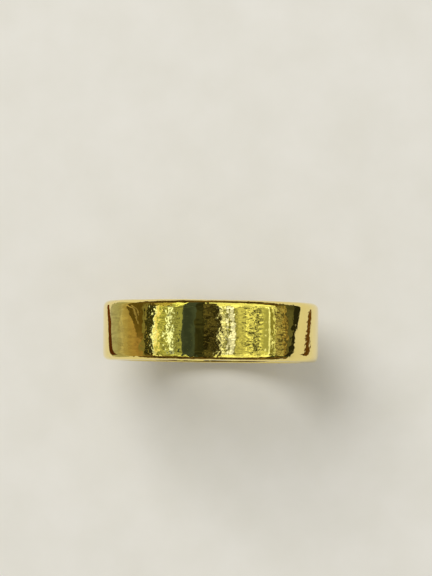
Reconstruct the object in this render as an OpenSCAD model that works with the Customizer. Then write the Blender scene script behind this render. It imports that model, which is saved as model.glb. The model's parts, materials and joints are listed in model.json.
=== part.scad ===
// Plain flat-section finger ring, as a goldsmith makes it: a flat strip bent round into a hoop, with its
// two ends closed by a film of hard solder at the foot of the hoop.
// The finger goes through along Y. The top of the hoop is at +Z and the seam at -Z. Millimetres.

/* [Hoop] */
// Inside diameter, which is the finger size
bore_d = 18.6; // [15:0.1:22]
// Thickness of the strip, from the finger to the outside
wall = 1.6; // [1.2:0.1:2.4]
// Width of the strip along the finger
band_w = 6; // [3:0.5:10]

/* [Edges] */
// Radius of the two outside edges, worn soft
outer_edge_r = 0.5; // [0.2:0.05:0.6]
// Radius of the two inside edges, eased so that the hoop slides over a knuckle
inner_edge_r = 0.3; // [0.1:0.05:0.5]

/* [Seam] */
// Thickness of the solder between the two ends of the strip
seam_t = 0.1; // [0.05:0.01:0.2]

/* [Hidden] */
$fn = 144;
bore_r = bore_d / 2;
outer_r = bore_r + wall;
half_w = band_w / 2;
// How far the cutter that opens the seam reaches past the strip on every side
reach = 1;

// One edge's rounding: a circle tucked into both corners on that side of the strip
module edge_pair(centre_r, edge_r) {
    for (side = [-1, 1])
        translate([centre_r, side * (half_w - edge_r)])
            circle(edge_r);
}

// A block of the strip's section between two radii, short of each side face by inset
module section_block(from_r, to_r, inset) {
    translate([from_r, inset - half_w])
        square([to_r - from_r, band_w - 2 * inset]);
}

// The strip's section at its true radius: flat inside and outside, flat sides, four rounded edges
module strip_section() {
    section_block(bore_r, bore_r + inner_edge_r, inner_edge_r);
    section_block(bore_r + inner_edge_r, outer_r - outer_edge_r, 0);
    section_block(outer_r - outer_edge_r, outer_r, outer_edge_r);
    edge_pair(bore_r + inner_edge_r, inner_edge_r);
    edge_pair(outer_r - outer_edge_r, outer_edge_r);
}

// The whole hoop, before the seam divides it
module hoop() {
    rotate([90, 0, 0])
        rotate_extrude()
            strip_section();
}

// The space between the strip's two ends, at the foot of the hoop
module seam_space() {
    translate([-seam_t / 2, -half_w - reach, -outer_r - reach])
        cube([seam_t, band_w + 2 * reach, wall + 2 * reach]);
}

module band() {
    color("gold")
        difference() {
            hoop();
            seam_space();
        }
}

module solder_seam() {
    color("khaki")
        intersection() {
            hoop();
            seam_space();
        }
}

band();
solder_seam();
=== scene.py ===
"""A polished gold wedding band standing on a pale floor, seen from almost straight above.

The ring stands on its edge with the finger hole along Y. The strip is a dense mesh with real relief: a finish
that is never quite flat, small dents, and nicks along the worn edges. Polished gold shows little but what it
mirrors, so the stage holds cards that only the gold can see. Metres throughout, in the CAD frame.
"""
import json
import math
import random

import bpy
import numpy as np
from mathutils import Euler, Matrix, Vector, noise


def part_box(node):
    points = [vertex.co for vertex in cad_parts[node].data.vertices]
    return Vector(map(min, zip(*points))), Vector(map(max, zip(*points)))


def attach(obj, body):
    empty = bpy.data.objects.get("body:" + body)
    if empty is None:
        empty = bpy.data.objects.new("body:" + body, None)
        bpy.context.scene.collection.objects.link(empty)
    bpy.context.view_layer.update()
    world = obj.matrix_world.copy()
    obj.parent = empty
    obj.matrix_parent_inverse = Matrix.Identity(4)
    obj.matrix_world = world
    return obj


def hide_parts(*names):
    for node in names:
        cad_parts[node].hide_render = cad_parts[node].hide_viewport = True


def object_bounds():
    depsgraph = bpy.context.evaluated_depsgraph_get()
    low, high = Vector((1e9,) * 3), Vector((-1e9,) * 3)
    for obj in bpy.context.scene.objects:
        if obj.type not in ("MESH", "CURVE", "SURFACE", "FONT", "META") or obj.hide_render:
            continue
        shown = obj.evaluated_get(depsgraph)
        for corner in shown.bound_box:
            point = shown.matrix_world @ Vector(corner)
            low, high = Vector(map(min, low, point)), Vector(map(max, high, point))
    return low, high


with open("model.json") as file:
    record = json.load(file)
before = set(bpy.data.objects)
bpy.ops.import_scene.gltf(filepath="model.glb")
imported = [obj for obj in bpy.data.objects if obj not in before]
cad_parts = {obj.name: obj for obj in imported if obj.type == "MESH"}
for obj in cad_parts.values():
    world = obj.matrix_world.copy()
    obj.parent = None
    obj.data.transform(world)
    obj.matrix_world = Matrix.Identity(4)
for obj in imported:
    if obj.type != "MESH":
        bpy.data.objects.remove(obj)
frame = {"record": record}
cad_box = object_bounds()

MM = 0.001

# ---------------------------------------------------------------------------------------------------------
# Sizes, read from the frame but for the outside edges' radius, which it doesn't give
# ---------------------------------------------------------------------------------------------------------
MOUNTS = {m["name"]: m for m in frame["record"]["mounts"]}
BORE = MOUNTS["finger_bore"]["dims"]
outer_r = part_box("band")[1].z
half_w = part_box("band")[1].y
bore_r = BORE["r_mm"] * MM
inner_edge_r = half_w - BORE["length_mm"] * MM / 2
outer_edge_r = 0.5 * MM
seam_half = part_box("solder_seam")[1].x
floor_z = cad_box[0].z

# ---------------------------------------------------------------------------------------------------------
# The strip's section, as points with outward normals
# ---------------------------------------------------------------------------------------------------------
FACE_STEPS = 58
OUTER_EDGE_STEPS = 10
SIDE_STEPS = 4
INNER_EDGE_STEPS = 4
BORE_STEPS = 10
AROUND_STEPS = 900
SEAM_STEPS = 6
SEAM_SUNK = 0.004 * MM
# The outside face is flat but for its two margins, which wear has rolled over towards the edges
MARGIN = 0.45 * MM
MARGIN_TILT = 10  # degrees that the margin leans where it meets the rounded edge


def straight(start, end, steps, normal):
    """Points from start to just before end, all with one normal."""
    return [(start[0] + (end[0] - start[0]) * i / steps, start[1] + (end[1] - start[1]) * i / steps, *normal)
            for i in range(steps)]


def rounding(centre, radius, from_deg, to_deg, steps):
    """An arc's points, turning anticlockwise from from_deg to just short of to_deg."""
    points = []
    for i in range(steps):
        angle = math.radians(from_deg + (to_deg - from_deg) * i / steps)
        normal_r, normal_y = math.cos(angle), math.sin(angle)
        points.append((centre[0] + radius * normal_r, centre[1] + radius * normal_y, normal_r, normal_y))
    return points


def worn_face(face_y):
    """The outside face between its two rounded edges, dropping along a parabola over each margin."""
    steepest = math.tan(math.radians(MARGIN_TILT))
    points = []
    for i in range(FACE_STEPS):
        y = face_y * (2 * i / FACE_STEPS - 1)
        over = max(0, abs(y) - (face_y - MARGIN))
        slope = math.copysign(steepest * over / MARGIN, y)
        length = math.hypot(1, slope)
        points.append((outer_r - steepest * over * over / (2 * MARGIN), y, 1 / length, slope / length))
    return points


def section():
    """The section's outline as rows of (radius, y, normal's radial part, normal's y part)."""
    face_y, bore_y = half_w - outer_edge_r, half_w - inner_edge_r
    lip_r = bore_r + inner_edge_r
    lean = math.radians(MARGIN_TILT)
    # The rounding starts where the margin ends, so its radius is the one that reaches from there to the side
    worn_r = outer_edge_r / (1 - math.sin(lean))
    rim_r = outer_r - MARGIN * math.tan(lean) / 2 - worn_r * math.cos(lean)
    rim_y = half_w - worn_r
    points = worn_face(face_y)
    points += rounding((rim_r, rim_y), worn_r, MARGIN_TILT, 90, OUTER_EDGE_STEPS)
    points += straight((rim_r, half_w), (lip_r, half_w), SIDE_STEPS, (0, 1))
    points += rounding((lip_r, bore_y), inner_edge_r, 90, 180, INNER_EDGE_STEPS)
    points += straight((bore_r, bore_y), (bore_r, -bore_y), BORE_STEPS, (-1, 0))
    points += rounding((lip_r, -bore_y), inner_edge_r, 180, 270, INNER_EDGE_STEPS)
    points += straight((lip_r, -half_w), (rim_r, -half_w), SIDE_STEPS, (0, -1))
    points += rounding((rim_r, -rim_y), worn_r, 270, 360 - MARGIN_TILT, OUTER_EDGE_STEPS)
    return np.array(points)


# ---------------------------------------------------------------------------------------------------------
# Relief: how far the real surface stands off the ideal one
# ---------------------------------------------------------------------------------------------------------
# Soft swells left by filing and polishing, all over: each one's feature size and usual slope in degrees
SWELLS = [(9 * MM, 0.25), (4 * MM, 0.4), (2.2 * MM, 0.6)]
# Finer wear that comes and goes with the scuffing: the same, and how much longer it is round the hoop
SCUFFS = [(0.9 * MM, 0.8, 1), (0.45 * MM, 1.9, 1.5), (0.26 * MM, 2.6, 2.5)]
FIRST_SCUFF_SEED = 5
NOISE_SLOPE = 1.5  # the noise's usual slope, in heights per feature size
NOISE_SHIFT = (7.31, 3.17, 5.73)  # how far each seed moves the noise, in features along x, y and z
# The scuffed stretches of the hoop: from and to in degrees from its top towards +X, and how scuffed
SCUFFED = [(-39, -17, 1.0), (-5, 9, 1.0), (9, 19.5, 0.65), (19.5, 29.5, 1.0), (34.5, 51, 1.0), (58, 71, 0.5),
           (108, 131, 0.7), (144, 171, 0.7), (-170, -126, 0.8), (-118, -104, 0.6)]
LEAST_SCUFFED = 0.16
SCUFF_BLEND = 2.5  # degrees over which a stretch fades in
# How the scuffing itself varies from place to place
PATCH_SIZE, PATCH_SHARE, PATCH_SEED = 1.6 * MM, 0.5, 9
# A broad shallow hollow in the outside face near the top, which rounds the sides of the dark reflection
HOLLOW_AT = -4.9  # its centre, in degrees from the top towards +X
HOLLOW_DEPTH, HOLLOW_LONG, HOLLOW_WIDE = 0.08 * MM, 2.7 * MM, 1.9 * MM
# A dent's shape: how fast its hollow fades, and the height, sharpness and place of the lip round it
DENT_FADE, LIP_HEIGHT, LIP_SHARP, LIP_AT = 2.5, 0.25, 6, 1.1
# Small dings on the face, and nicks along its two edges. A ding's depth is a share of its radius, and its
# spread a share of the half width. A nick's inset is a share of the edge's rounding.
DINGS, DING_SEED, DING_SPREAD = 70, 11, 0.9
DING_RADII, DING_DEPTHS = (0.12 * MM, 0.4 * MM), (0.008, 0.03)
NICKS, NICK_SEED, NICK_INSET = 46, 23, 0.3
NICK_RADII, NICK_DEPTHS = (0.15 * MM, 0.45 * MM), (0.006 * MM, 0.03 * MM)


def noise_at(points, size, seed, stretch=(1, 1, 1)):
    """Smooth noise in -1..1 at each point. Features are about size, longer by stretch along x, y and z."""
    shift = Vector([seed * step for step in NOISE_SHIFT])
    scaled = points / (size * np.array(stretch))
    return np.array([noise.noise(Vector(p) + shift) for p in scaled])


def scuffing(points):
    """How scuffed the surface is at each point, from almost 0 for a fresh polish to 1."""
    angle = np.degrees(np.arctan2(points[:, 0], points[:, 2]))
    amount = np.full(len(points), LEAST_SCUFFED)
    for start, end, worst in SCUFFED:
        depth = np.clip(np.minimum(angle - start, end - angle) / SCUFF_BLEND + 0.5, 0, 1)
        amount = np.maximum(amount, worst * depth)
    return amount * (1 + PATCH_SHARE * noise_at(points, PATCH_SIZE, PATCH_SEED))


def dents(points, centres, radii, depths):
    """Round hollows with a faint raised lip, one at each centre."""
    height = np.zeros(len(points))
    for centre, radius, deep in zip(centres, radii, depths):
        near = np.abs(points - centre).max(axis=1) < 2 * radius
        d = np.linalg.norm(points[near] - centre, axis=1) / radius
        lip = LIP_HEIGHT * np.exp(-LIP_SHARP * (d - LIP_AT) ** 2)
        height[near] -= deep * (np.exp(-DENT_FADE * d * d) - lip)
    return height


def on_ring(angle, radius, y):
    """A point at an angle from the foot of the ring."""
    return np.array((radius * math.sin(angle), y, -radius * math.cos(angle)))


def face_dents(points):
    """Small dings all over the outside face."""
    rng = random.Random(DING_SEED)
    centres = [on_ring(rng.uniform(0, math.tau), outer_r, rng.uniform(-DING_SPREAD, DING_SPREAD) * half_w)
               for _ in range(DINGS)]
    radii = [rng.uniform(*DING_RADII) for _ in range(DINGS)]
    depths = [radius * rng.uniform(*DING_DEPTHS) for radius in radii]
    return dents(points, centres, radii, depths)


def edge_nicks(points):
    """Deeper knocks along the two outside edges."""
    rng = random.Random(NICK_SEED)
    inset = NICK_INSET * outer_edge_r
    centres, radii, depths = [], [], []
    for _ in range(NICKS):
        side = rng.choice((-1, 1))
        centres.append(on_ring(rng.uniform(0, math.tau), outer_r - inset, side * (half_w - inset)))
        radii.append(rng.uniform(*NICK_RADII))
        depths.append(rng.uniform(*NICK_DEPTHS))
    return dents(points, centres, radii, depths)


def top_hollow(points):
    """The shallow hollow near the top. Only the outside has it: it fades out over the metal below."""
    along = outer_r * (np.arctan2(points[:, 0], points[:, 2]) - math.radians(HOLLOW_AT)) / HOLLOW_LONG
    across = points[:, 1] / HOLLOW_WIDE
    below = outer_r - np.hypot(points[:, 0], points[:, 2])
    outside = np.clip(2 - below / outer_edge_r, 0, 1)
    return -HOLLOW_DEPTH * np.exp(-along * along - across * across) * outside


def ripple(points, size, slope, seed, along=1):
    """Noise whose sides slope by about slope degrees, along times longer round the hoop than across it."""
    return math.radians(slope) * size / NOISE_SLOPE * noise_at(points, size, seed, (along, 1, along))


def relief(points):
    """The height of the finish over the ideal surface at each point."""
    swells = sum(ripple(points, size, slope, seed) for seed, (size, slope) in enumerate(SWELLS))
    scuffs = sum(ripple(points, size, slope, seed, along)
                 for seed, (size, slope, along) in enumerate(SCUFFS, FIRST_SCUFF_SEED))
    knocks = face_dents(points) + edge_nicks(points)
    return swells + scuffs * scuffing(points) + knocks + top_hollow(points)


# ---------------------------------------------------------------------------------------------------------
# Meshes
# ---------------------------------------------------------------------------------------------------------
def loft(name, rings):
    """A mesh through closed loops of points, with a flat cap at each end."""
    count, size = len(rings), len(rings[0])
    verts = np.concatenate(rings)
    faces = []
    for i in range(count - 1):
        for j in range(size):
            k = (j + 1) % size
            faces.append((i * size + j, i * size + k, (i + 1) * size + k, (i + 1) * size + j))
    smooth = len(faces)
    faces.append(tuple(range(size - 1, -1, -1)))
    faces.append(tuple((count - 1) * size + j for j in range(size)))
    mesh = bpy.data.meshes.new(name)
    mesh.from_pydata([tuple(v) for v in verts], [], faces)
    mesh.polygons.foreach_set("use_smooth", [i < smooth for i in range(len(faces))])
    worn = mesh.attributes.new("scuffing", "FLOAT", "POINT")
    worn.data.foreach_set("value", scuffing(verts))
    mesh.update()
    piece = bpy.data.objects.new(name, mesh)
    bpy.context.scene.collection.objects.link(piece)
    return piece


def finished(angles):
    """The section's points at each angle, or row of one angle per point, moved off the ideal surface.

    Gives one array of points and one of normals per angle.
    """
    radius, y, normal_r, normal_y = section().T
    rings = []
    for angle in angles:
        east, up = np.sin(angle), -np.cos(angle)
        points = np.stack((radius * east, y, radius * up), axis=1)
        normals = np.stack((normal_r * east, normal_y, normal_r * up), axis=1)
        rings.append((points, normals))
    points = np.concatenate([p for p, _ in rings])
    normals = np.concatenate([n for _, n in rings])
    moved = points + normals * relief(points)[:, None]
    return np.split(moved, len(rings)), [n for _, n in rings]


def band():
    """The strip, from one face of the seam round to the other. Its two ends are flat and parallel."""
    start = np.arcsin(seam_half / section()[:, 0])
    turn = math.tau - 2 * start
    rings, _ = finished([start + turn * i / AROUND_STEPS for i in range(AROUND_STEPS + 1)])
    return loft("band_visual", rings)


def seam():
    """The film of solder between the strip's ends, sunk a little by the polishing."""
    across = np.linspace(-1, 1, SEAM_STEPS + 1)
    rings, normals = finished([np.arcsin(seam_half * x / section()[:, 0]) for x in across])
    sunk = [ring - normal * SEAM_SUNK * (1 - x * x) for ring, normal, x in zip(rings, normals, across)]
    return loft("solder_seam_visual", sunk)


# ---------------------------------------------------------------------------------------------------------
# Materials
# ---------------------------------------------------------------------------------------------------------
class Nodes:
    """A short way to build a material's node tree."""

    def __init__(self, name):
        self.material = bpy.data.materials.new(name)
        self.material.use_nodes = True
        self.tree = self.material.node_tree
        self.tree.nodes.clear()
        self.place = self.add("ShaderNodeTexCoord").outputs["Object"]

    def add(self, kind, **settings):
        node = self.tree.nodes.new(kind)
        for key, value in settings.items():
            setattr(node, key, value)
        return node

    def link(self, a, b):
        self.tree.links.new(a, b)

    def mapped(self, scale):
        node = self.add("ShaderNodeMapping")
        node.inputs["Scale"].default_value = scale
        self.link(self.place, node.inputs["Vector"])
        return node.outputs["Vector"]

    def noise(self, size, detail=2.0, rough=0.5, stretch=(1, 1, 1)):
        """Noise whose features are about size metres across, longer by stretch along x, y and z."""
        node = self.add("ShaderNodeTexNoise")
        node.inputs["Scale"].default_value = 1.0
        node.inputs["Detail"].default_value = detail
        node.inputs["Roughness"].default_value = rough
        self.link(self.mapped([1 / (size * s) for s in stretch]), node.inputs["Vector"])
        return node.outputs["Fac"]

    def ramp(self, value, *stops):
        """The colour at value, 0 to 1, between stops of (place, colour)."""
        node = self.add("ShaderNodeValToRGB")
        ends = node.color_ramp.elements
        while len(ends) < len(stops):
            ends.new(0.5)
        for element, (place, colour) in zip(ends, stops):
            element.position = place
            element.color = (*colour, 1)
        self.link(value, node.inputs["Fac"])
        return node.outputs["Color"]

    def span(self, value, low, high, to_low, to_high):
        """Value, with low..high stretched to to_low..to_high and clamped there."""
        node = self.add("ShaderNodeMapRange")
        for key, number in (("From Min", low), ("From Max", high), ("To Min", to_low), ("To Max", to_high)):
            node.inputs[key].default_value = number
        self.link(value, node.inputs["Value"])
        return node.outputs["Result"]

    def math(self, kind, a, b):
        node = self.add("ShaderNodeMath", operation=kind)
        for i, value in enumerate((a, b)):
            if isinstance(value, (int, float)):
                node.inputs[i].default_value = value
            else:
                self.link(value, node.inputs[i])
        return node.outputs["Value"]

    def mix(self, factor, a, b):
        """The colour that is factor of the way from colour a to colour b."""
        node = self.add("ShaderNodeMix", data_type="RGBA")
        self.link(factor, node.inputs["Factor"])
        for key, colour in (("A", a), ("B", b)):
            socket = next(s for s in node.inputs if s.name == key and s.type == "RGBA")
            socket.default_value = (*colour, 1)
        return next(s for s in node.outputs if s.type == "RGBA")

    def finish(self, surface):
        """The material, with surface as what it shows."""
        out = self.add("ShaderNodeOutputMaterial")
        self.link(surface, out.inputs["Surface"])
        return self.material

    def finish_card(self, light):
        """The material of a card, which isn't sampled as a lamp."""
        self.material.cycles.emission_sampling = "NONE"
        return self.finish(light.outputs["Emission"])


# Feature sizes in the gold
DRIFT, HAZE = 2.5 * MM, 1.2 * MM
LINE, LINE_LONG = 0.07 * MM, 40
GRAIN = 0.26 * MM
DASH, DASH_LONG, DASH_SHARE = 0.2 * MM, 4, 0.6
LINE_SHARE = 0.02  # how deep the lines are against the grain
LINES_ROUGHER, WORN_ROUGHER = 0.02, 0.03  # what the lines and the scuffing each add to the roughness


def gold(name, light, deep, gloss, bump_height):
    """Polished gold: slow colour drift, fine lines round the hoop, and a roughness that grows with wear."""
    n = Nodes(name)
    shader = n.add("ShaderNodeBsdfPrincipled")
    shader.inputs["Metallic"].default_value = 1.0
    drift = n.span(n.noise(DRIFT, detail=4), 0.35, 0.65, 0, 1)
    n.link(n.mix(drift, deep, light), shader.inputs["Base Color"])
    worn = n.add("ShaderNodeAttribute", attribute_name="scuffing").outputs["Fac"]
    lines = n.noise(LINE, detail=3, rough=0.6, stretch=(LINE_LONG, 1, LINE_LONG))
    haze = n.span(n.noise(HAZE, detail=5, rough=0.6), 0.3, 0.75, *gloss)
    polish = n.math("ADD", haze, n.span(lines, 0.45, 0.75, 0, LINES_ROUGHER))
    n.link(n.math("ADD", polish, n.math("MULTIPLY", worn, WORN_ROUGHER)), shader.inputs["Roughness"])
    grain = n.noise(GRAIN, detail=0.5)
    dashes = n.noise(DASH, detail=0, stretch=(DASH_LONG, 1, DASH_LONG))
    scuffed = n.math("MULTIPLY", n.math("ADD", grain, n.math("MULTIPLY", dashes, DASH_SHARE)), worn)
    bump = n.add("ShaderNodeBump")
    bump.inputs["Strength"].default_value = 1.0
    bump.inputs["Distance"].default_value = bump_height
    n.link(n.math("ADD", scuffed, n.math("MULTIPLY", lines, LINE_SHARE)), bump.inputs["Height"])
    n.link(bump.outputs["Normal"], shader.inputs["Normal"])
    return n.finish(shader.outputs["BSDF"])


# Feature sizes in the floor and in the cards' light
PAPER_CLOUD = 6 * MM
CLUTTER = 12 * MM
CLUTTER_DIMS, CLUTTER_BRIGHTENS = 0.6, 1.4  # how far a mottle of 1 takes a card's light down and up
CLOUD, CLOUD_WAVER = 1.5 * MM, 0.04
FINE_STREAK, STREAK_LIGHT = 0.25 * MM, 0.25


def paper():
    """The pale floor."""
    n = Nodes("floor_paper")
    shader = n.add("ShaderNodeBsdfPrincipled")
    shader.inputs["Roughness"].default_value = 0.9
    shader.inputs["Specular IOR Level"].default_value = 0.2
    cloud = n.noise(PAPER_CLOUD, detail=4)
    n.link(n.ramp(cloud, (0.3, (0.77, 0.75, 0.68)), (0.7, (0.81, 0.79, 0.73))), shader.inputs["Base Color"])
    return n.finish(shader.outputs["BSDF"])


def glow(name, colour, mottle):
    """A card's light. mottle breaks it up, because a card stands for a cluttered part of a room."""
    n = Nodes("glow_" + name)
    light = n.add("ShaderNodeEmission")
    light.inputs["Color"].default_value = (*colour, 1)
    patches = n.noise(CLUTTER, detail=1.5, rough=0.6, stretch=(2, 1, 2))
    dimmest, brightest = 1 - CLUTTER_DIMS * mottle, 1 + CLUTTER_BRIGHTENS * mottle
    n.link(n.span(patches, 0.40, 0.66, dimmest, brightest), light.inputs["Strength"])
    return n.finish_card(light)


def graded_glow(name, axis, start, end, stops, streak):
    """A card's light whose colour changes along one axis, from start to end in millimetres.

    Soft clouds waver the changes, and fine streaks, longer by streak along x, y and z, vary the brightness.
    """
    n = Nodes("glow_" + name)
    parts = n.add("ShaderNodeSeparateXYZ")
    n.link(n.place, parts.inputs["Vector"])
    place = n.span(parts.outputs[axis], start * MM, end * MM, 0, 1)
    clouds = n.span(n.noise(CLOUD, detail=2), 0.3, 0.7, -CLOUD_WAVER, CLOUD_WAVER)
    streaks = n.noise(FINE_STREAK, detail=3, stretch=streak)
    light = n.add("ShaderNodeEmission")
    n.link(n.ramp(n.math("ADD", place, clouds), *stops), light.inputs["Color"])
    n.link(n.span(streaks, 0.3, 0.7, 1 - STREAK_LIGHT, 1 + STREAK_LIGHT), light.inputs["Strength"])
    return n.finish_card(light)


# ---------------------------------------------------------------------------------------------------------
# Stage: what the gold mirrors
# ---------------------------------------------------------------------------------------------------------
FLOOR_SIZE = 3
# The strips lie on arcs of this radius round the finger hole's axis, with corners every few degrees
STRIP_R = 0.15
STRIP_STEP = 2
# How far the face's strips and the sky beyond them reach along Y, and where sky begins behind the camera
NEAR, FAR, CAMERA_END = 0.035, 0.40, 0.10
OLIVE = (0.085, 0.085, 0.04)
# What the polished face mirrors, from the left of the camera's view to the right. Each row holds two angles
# from straight up towards +X, two places along Y, a colour and a mottle.
STRIPS = [
    ("brown_left", -95, -70.5, -NEAR, NEAR, (0.23, 0.20, 0.075), 0.4),
    ("black_left", -70.5, -62.5, -NEAR, NEAR, (0.03, 0.03, 0.01), 0.8),
    ("yellow_left", -62.5, -59, -NEAR, NEAR, (0.80, 0.92, 0.76), 0.6),
    ("orange_left", -59, -55.5, -NEAR, NEAR, (0.78, 0.73, 0.35), 0.4),
    ("lime_left", -55.5, -44.5, -NEAR, NEAR, (0.32, 0.35, 0.12), 0.8),
    ("lamp_left", -44.5, -39.5, -NEAR, NEAR, (0.50, 0.60, 0.56), 1.3),
    ("olive_left", -39.5, -28, -NEAR, NEAR, (0.28, 0.31, 0.12), 0.7),
    ("camera_left", -28, -15, -FAR, FAR, (0.046, 0.064, 0.056), 0.35),
    ("camera_middle", -15, -7, -FAR, FAR, (0.028, 0.030, 0.013), 0.6),
    ("camera_right", -7, 8, -FAR, CAMERA_END, (0.062, 0.056, 0.022), 1.2),
    ("glint", 8, 13, -NEAR, NEAR, (0.76, 0.82, 0.70), 0.9),
    ("glint_gap", 13, 17, -NEAR, NEAR, (0.25, 0.27, 0.13), 0.8),
    ("window", 17, 22.5, -NEAR, NEAR, (1.00, 1.10, 1.35), 0.6),
    ("window_edge", 22.5, 23.5, -NEAR, NEAR, (0.28, 0.30, 0.13), 0.5),
    ("pale_lime", 23.5, 37, -NEAR, NEAR, (0.38, 0.395, 0.17), 0.9),
    ("bright_lime", 37, 55, -NEAR, NEAR, (0.39, 0.41, 0.19), 1.5),
    ("lime_edge", 55, 61.5, -NEAR, NEAR, (0.50, 0.53, 0.21), 0.4),
    ("line_right", 61.5, 63.5, -NEAR, NEAR, (1.10, 1.20, 0.85), 0.4),
    ("gap_right", 63.5, 66.5, -NEAR, NEAR, (0.22, 0.22, 0.06), 0.5),
    ("thin_right", 66.5, 69, -NEAR, NEAR, (0.80, 0.85, 0.45), 0.6),
    ("brown_right", 69, 81, -NEAR, NEAR, (0.25, 0.23, 0.10), 1.2),
    ("amber_right", 81, 86, -NEAR, NEAR, (0.22, 0.17, 0.06), 0.8),
    ("olive_right", 86, 95, -NEAR, NEAR, OLIVE, 0.9),
]
# What the rounded edges mirror beyond those, behind and in front: bright sky, with gaps
SKIES = [
    ("sky_back_far_left", -66, -42, NEAR, FAR, (0.34, 0.30, 0.09), 1.2),
    ("sky_back_left", -42, -28, NEAR, FAR, (0.80, 0.90, 0.36), 0.9),
    ("sky_back_middle", -7, 8, CAMERA_END, FAR, (0.80, 0.85, 0.40), 0.7),
    ("sky_back_right", 8, 70, NEAR, FAR, (0.90, 0.95, 0.45), 0.6),
    ("brown_back_left", -95, -66, NEAR, FAR, (0.10, 0.07, 0.02), 0.5),
    ("brown_back_right", 70, 95, NEAR, FAR, (0.18, 0.15, 0.05), 0.8),
    ("sky_front_far_left", -66, -56, -FAR, -NEAR, (0.90, 0.95, 0.55), 0.6),
    ("sky_front_gap", -56, -43, -FAR, -NEAR, (0.24, 0.25, 0.07), 1.0),
    ("sky_front_left", -43, -28, -FAR, -NEAR, (0.60, 0.66, 0.26), 1.2),
    ("sky_front_right", 8, 66, -FAR, -NEAR, (0.90, 0.95, 0.48), 0.7),
    ("brown_front_left", -95, -66, -FAR, -NEAR, (0.06, 0.04, 0.01), 0.8),
    ("brown_front_right", 66, 95, -FAR, -NEAR, (0.05, 0.07, 0.03), 0.8),
]
# The face's two steep ends mirror upright cards this far out along X, which hang in layers. Their corners are
# (y, z), and everything from here to the walls is in millimetres.
SIDE_AWAY, LAYER = 20.3, 0.2
LEFT, RIGHT = -1, 1
# The left end: bands of colour from the floor up to the strips, and before them a wedge, which goes from dark
# to pale between two places along Y, and pale streaks
# The lowest bands, grey and olive, are painted shade: a pale floor in shade.
BANDS_REACH, BANDS_FROM, BANDS_TO = 12, -6.4, 12.6
BANDS = [(0.0, (0.40, 0.40, 0.31)), (0.30, (0.38, 0.38, 0.25)), (0.38, (0.35, 0.33, 0.20)),
         (0.44, (0.46, 0.42, 0.26)), (0.52, (0.40, 0.34, 0.16)), (0.62, (0.36, 0.28, 0.11)),
         (0.74, (0.38, 0.27, 0.10)), (0.86, (0.31, 0.20, 0.07)), (0.92, (0.20, 0.19, 0.07))]
WEDGE = [(12, 4.6), (2.7, 4.6), (0.4, 8.1), (-1.6, 11.2), (12, 11.2)]
WEDGE_DARK, WEDGE_PALE = 1.5, -1.6
WEDGE_COLOURS = [(0.0, (0.105, 0.075, 0.015)), (0.45, (0.15, 0.105, 0.025)), (1.0, (0.31, 0.21, 0.08))]
STREAKS = [[(5, 3.9), (5, 4.8), (0.9, 9.9), (0.9, 9.2)], [(5, 5.8), (5, 6.3), (1.8, 10.0), (1.8, 9.5)]]
STREAK_TAN = (0.40, 0.32, 0.15)
# The right end: an olive shade, and the bent dark line under it
SHADE = [(2.3, 3.8), (5.2, 4.0), (14, 5.5), (14, 7.8), (-4.3, 7.8)]
END_BLACK = (0.02, 0.02, 0.01)
END_LINE = [(2.3, 1.9), (5.2, 1.4), (14, 3.0), (14, 6.5), (5.2, 4.4), (2.3, 4.6), (-6, 9.6), (-6, 6.9)]
# The dark red line near the left end mirrors a slanted upright strip, a little nearer than the bands. The
# strip is painted shade: a dark slot beside the ring.
RIM_NEARER = 1
LEFT_RIM = [(-5, -3.6), (-5, 0.0), (5, -8.2), (5, -11.8)]
RIM_SHADE_RED = (0.090, 0.026, 0.005)
# The dark brown line near the right end mirrors a bent strip just over the floor, which is painted shade: a
# dark slot beside the ring.
# These are its colour, how far out it crosses Y = 0, how much further out it is per unit of Y and of Y
# squared, its width there, how much it narrows per unit of Y, how far it reaches along Y, and its height over
# the floor.
RIM_SHADE_BROWN = (0.085, 0.038, 0.008)
RIM_OUT, RIM_SLOPE, RIM_BEND, RIM_WIDTH, RIM_TAPER = 29.8, -1.5, 0.12, 9.2, 1.75
RIM_REACH, RIM_LIFT = 5, 0.3
# Dark walls along X, behind and in front, which draw the thin dark line on each rounded edge. They stand
# partly for dark box walls and partly for painted shade in the gap beside the ring. Metres again.
WALL_AND_GAP_SHADE = (0.085, 0.058, 0.019)
WALL_Y, WALL_TOP, WALL_REACH = 0.060, 0.045, 0.5
# The room's light, and the lamp's width, place and power
WORLD_COLOUR, WORLD_STRENGTH = (1.0, 0.985, 0.94, 1), 0.55
LAMP_SIZE, LAMP_PLACE, LAMP_WATTS = 0.5, (-0.25, 0.35, 0.6), 3.0


def floor():
    """The plain floor that the ring stands on."""
    bpy.ops.mesh.primitive_plane_add(size=FLOOR_SIZE, location=(0, 0, floor_z))
    plane = bpy.context.object
    plane.name = "floor"
    plane.data.materials.append(paper())


def card(name, corners, faces, material):
    """A card that shows in the gold and nowhere else: it lights nothing and casts no shadow."""
    mesh = bpy.data.meshes.new(name)
    mesh.from_pydata(corners, [], faces)
    mesh.materials.append(material)
    sheet = bpy.data.objects.new("card_" + name, mesh)
    bpy.context.scene.collection.objects.link(sheet)
    sheet.visible_camera = False
    sheet.visible_diffuse = False
    sheet.visible_shadow = False
    sheet.visible_transmission = False
    sheet.visible_volume_scatter = False


def rungs(count):
    """The faces of a ribbon whose corners come in pairs."""
    return [(2 * i, 2 * i + 1, 2 * i + 3, 2 * i + 2) for i in range(count)]


def upright(reach, low, high):
    """The corners of an upright rectangle, each as its place along the rectangle and its height."""
    return [(reach, low), (-reach, low), (-reach, high), (reach, high)]


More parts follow.
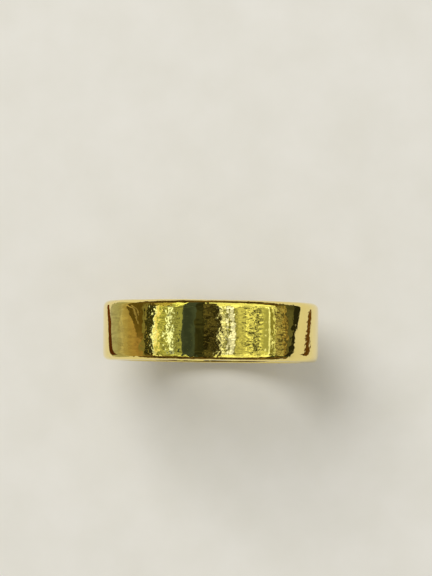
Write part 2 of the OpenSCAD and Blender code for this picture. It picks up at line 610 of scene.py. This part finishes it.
def strip(name, from_deg, to_deg, from_y, to_y, colour, mottle):
    """A curved card, from a row of STRIPS or SKIES."""
    steps = max(2, round((to_deg - from_deg) / STRIP_STEP))
    corners = []
    for i in range(steps + 1):
        angle = math.radians(from_deg + (to_deg - from_deg) * i / steps)
        x, z = STRIP_R * math.sin(angle), STRIP_R * math.cos(angle)
        corners += [(x, from_y, z), (x, to_y, z)]
    card(name, corners, rungs(steps), glow(name, colour, mottle))


def side_card(name, side, away, corners, material):
    """An upright card to one side of the ring, away from it along X, with (y, z) corners."""
    points = [(side * away * MM, y * MM, z * MM) for y, z in corners]
    card(name, points, [tuple(range(len(points)))], material)


def left_end():
    """The cards that the steep left end mirrors."""
    corners = upright(BANDS_REACH, BANDS_FROM, BANDS_TO)
    light = graded_glow("bands_left", "Z", BANDS_FROM, BANDS_TO, BANDS, streak=(1, 1, 16))
    side_card("bands_left", LEFT, SIDE_AWAY, corners, light)
    light = graded_glow("wedge_left", "Y", WEDGE_DARK, WEDGE_PALE, WEDGE_COLOURS, streak=(1, 12, 1))
    side_card("wedge_left", LEFT, SIDE_AWAY - LAYER, WEDGE, light)
    for i, corners in enumerate(STREAKS):
        name = f"streak_left_{i}"
        side_card(name, LEFT, SIDE_AWAY - 2 * LAYER, corners, glow(name, STREAK_TAN, 0.5))
    # The rim strip is painted shade of a dark slot beside the ring, seen only in the gold.
    side_card("rim_shade_left", LEFT, SIDE_AWAY - RIM_NEARER, LEFT_RIM, glow("rim_shade_left", RIM_SHADE_RED, 0.5))


def right_end():
    """The cards that the steep right end mirrors."""
    side_card("shade_right", RIGHT, SIDE_AWAY, SHADE, glow("shade_right", OLIVE, 0.8))
    light = glow("line_right_end", END_BLACK, 0)
    side_card("line_right_end", RIGHT, SIDE_AWAY - LAYER, END_LINE, light)
    # A strip of painted shade on the floor: a dark slot beside the ring, seen only in the gold.
    corners = []
    for y in range(-RIM_REACH, RIM_REACH + 1):
        middle = RIM_OUT + RIM_SLOPE * y + RIM_BEND * y * y
        half = (RIM_WIDTH - RIM_TAPER * y) / 2
        corners += [((middle + part * half) * MM, y * MM, floor_z + RIM_LIFT * MM) for part in (-1, 1)]
    card("rim_shade_right", corners, rungs(2 * RIM_REACH), glow("rim_shade_right", RIM_SHADE_BROWN, 0.5))


def walls():
    """The two dark walls, partly painted shade of the gap beside the ring."""
    for name, side in (("wall_back", 1), ("wall_front", -1)):
        corners = [(x, side * WALL_Y, z) for x, z in upright(WALL_REACH, floor_z, WALL_TOP)]
        card(name, corners, [(0, 1, 2, 3)], glow(name, WALL_AND_GAP_SHADE, 1.2))


def cards():
    """Everything that only the gold can see."""
    for row in STRIPS + SKIES:
        strip(*row)
    left_end()
    right_end()
    walls()


def lights():
    """A dim, slightly warm world and one soft lamp, which the gold doesn't mirror."""
    world = bpy.data.worlds.new("studio")
    world.use_nodes = True
    background = world.node_tree.nodes["Background"]
    background.inputs["Color"].default_value = WORLD_COLOUR
    background.inputs["Strength"].default_value = WORLD_STRENGTH
    bpy.context.scene.world = world
    lamp = bpy.data.lights.new("soft_box", "AREA")
    lamp.shape = "DISK"
    lamp.size = LAMP_SIZE
    lamp.energy = LAMP_WATTS
    soft = bpy.data.objects.new("soft_box", lamp)
    soft.location = LAMP_PLACE
    soft.rotation_euler = (-soft.location).to_track_quat("-Z", "Y").to_euler()
    soft.visible_glossy = False
    bpy.context.scene.collection.objects.link(soft)


# ---------------------------------------------------------------------------------------------------------
# Camera
# ---------------------------------------------------------------------------------------------------------
CAMERA_DISTANCE = 0.386
CAMERA_LEAN = 1.1  # degrees that the camera stands off straight above, towards -Y
LENS, SENSOR, CLIP_NEAR = 238.3, 36, 0.005
AIM_UP, AIM_RIGHT, ROLL = 0.660, 0.079, 0.82  # degrees that the camera is turned away from the ring's centre


def camera():
    """A long lens almost straight above the ring, turned a little."""
    lean = math.radians(CAMERA_LEAN)
    back = Vector((0, -math.sin(lean), math.cos(lean)))
    right = Vector((1, 0, 0))
    facing = Matrix((right, back.cross(right), back)).transposed().to_4x4()
    turned = Euler([math.radians(a) for a in (AIM_UP, -AIM_RIGHT, ROLL)]).to_matrix().to_4x4()
    data = bpy.data.cameras.new("camera")
    data.lens = LENS
    data.sensor_width = SENSOR
    data.clip_start = CLIP_NEAR
    eye = bpy.data.objects.new("camera", data)
    eye.matrix_world = Matrix.Translation(back * CAMERA_DISTANCE) @ facing @ turned
    bpy.context.scene.collection.objects.link(eye)
    bpy.context.scene.camera = eye


# ---------------------------------------------------------------------------------------------------------
# The scene
# ---------------------------------------------------------------------------------------------------------
def dress(piece, material, node):
    """Give a piece its material, hang it on the root body, and hide the node that it shows in place of."""
    piece.data.materials.append(material)
    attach(piece, "root")
    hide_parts(node)


camera()
yellow_gold = gold("yellow_gold", light=(0.95, 0.79, 0.29), deep=(0.93, 0.76, 0.26), gloss=(0.02, 0.05),
                   bump_height=0.012 * MM)
solder = gold("gold_solder", light=(0.93, 0.83, 0.48), deep=(0.88, 0.78, 0.42), gloss=(0.12, 0.22),
              bump_height=0.004 * MM)
dress(band(), yellow_gold, "band")
dress(seam(), solder, "solder_seam")
floor()
cards()
lights()
bpy.context.scene.view_settings.view_transform = "Standard"
